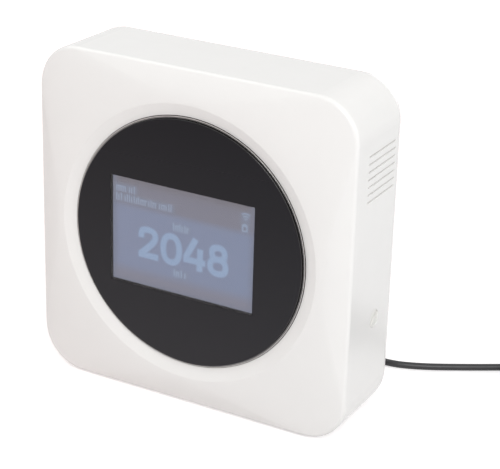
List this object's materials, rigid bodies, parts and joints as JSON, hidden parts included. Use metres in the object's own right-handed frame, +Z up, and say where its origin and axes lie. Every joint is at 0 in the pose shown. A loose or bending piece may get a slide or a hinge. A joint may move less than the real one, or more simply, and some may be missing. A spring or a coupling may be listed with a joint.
{
  "type": "air quality monitor",
  "caption": "Free-standing square white indoor air quality monitor with a crowned face, round black display in a conical dish, side breathing slots and a rear supply lead.",
  "frame": {"origin": "under the middle of the case, on the surface that its feet stand on; the middle is taken without the lead and its plugs", "axes": "+Z up; the display faces -Y; +X is to the display's right as its reader sees it"},
  "size_m": [0.2533, 0.1327, 0.1606],
  "materials": {
    "white_gloss_plastic": "smooth moulded gloss",
    "lens_glass": "polished",
    "black_print": "printed on the back of the glass",
    "black_foam": "closed-cell foam",
    "black_plastic": "fine satin",
    "display_panel": "polarised",
    "backlight_stack": "diffuse white",
    "tray_steel": "stamped",
    "flex_amber": "polyimide film",
    "grey_plastic": "fine texture",
    "screw_steel": "zinc plated",
    "board_green": "solder mask",
    "tin_shield": "tinned",
    "chip_black": "moulded epoxy",
    "capacitor_sleeve": "shrunk sleeve",
    "connector_cream": "moulded",
    "sensor_shell": "moulded",
    "motor_steel": "machined",
    "fan_black": "moulded",
    "laser_brass": "machined",
    "board_blue": "solder mask",
    "gold_can": "gold plated",
    "white_membrane": "porous film",
    "white_satin_plastic": "satin moulded",
    "insert_brass": "knurled",
    "foot_rubber": "soft matte",
    "wire_bundle": "insulated wires",
    "plug_steel": "nickel plated",
    "plug_black": "moulded grip",
    "cord_grey": "satin jacket",
    "tie_black": "woven strap"
  },
  "bodies": {
    "case": {"front_housing": "white_gloss_plastic", "rear_cover": "white_gloss_plastic", "display_lens": "lens_glass", "lens_mask": "black_print", "lens_gasket": "black_foam", "lens_bezel": "black_plastic", "lcd_glass": "display_panel", "lcd_backlight": "backlight_stack", "lcd_frame": "tray_steel", "lcd_flex": "flex_amber", "display_carrier": "grey_plastic", "carrier_screws": "screw_steel", "main_board": "board_green", "processor_shield": "tin_shield", "board_chips": "chip_black", "board_capacitors": "capacitor_sleeve", "board_connectors": "connector_cream", "board_screws": "screw_steel", "pm_sensor_case": "sensor_shell", "pm_sensor_lid": "sensor_shell", "pm_sensor_board": "board_green", "pm_fan_motor": "motor_steel", "pm_laser_module": "laser_brass", "pm_connector": "connector_cream", "inlet_gasket": "black_foam", "air_sensor_board": "board_blue", "air_board_screws": "screw_steel", "co2_sensor_body": "gold_can", "co2_membrane": "white_membrane", "gas_chips": "tin_shield", "air_connector": "connector_cream", "supply_board": "board_green", "supply_board_screws": "screw_steel", "supply_parts": "chip_black", "supply_connector": "connector_cream", "usb_socket": "tin_shield", "switch_body": "chip_black", "cover_inserts": "insert_brass", "cover_screws": "screw_steel", "rubber_feet": "foot_rubber", "pm_harness": "wire_bundle", "air_harness": "wire_bundle", "supply_harness": "wire_bundle", "plug_shell": "plug_steel", "plug_body": "plug_black", "cable_strain_relief": "cord_grey", "cable_lead": "cord_grey", "cable_coil": "cord_grey", "cable_tail": "cord_grey", "coil_tie": "tie_black", "supply_plug_relief": "cord_grey", "supply_plug_body": "plug_black", "supply_plug_shell": "plug_steel"},
    "fan_rotor": {"pm_fan_rotor": "fan_black"},
    "power_button": {"power_button": "white_satin_plastic", "switch_plunger": "white_satin_plastic"},
    "side_lock": {"side_lock": "white_satin_plastic", "lock_cam": "screw_steel", "lock_clip": "screw_steel"}
  },
  "joints": [
    {"name": "fan_spin", "type": "hinge", "parent": "case", "child": "fan_rotor", "pos_m": [0.06, 0.0093, 0.12395], "axis": [1, 0, 0], "continuous": true},
    {"name": "button_press", "type": "slide", "parent": "case", "child": "power_button", "axis": [0, -1, 0], "range_m": [0, 0.0008], "stiffness_N_per_m": 400},
    {"name": "lock_turn", "type": "hinge", "parent": "case", "child": "side_lock", "pos_m": [0.078, 0.0033, 0.0535], "axis": [-1, 0, 0], "range_deg": [0, 90]}
  ]
}
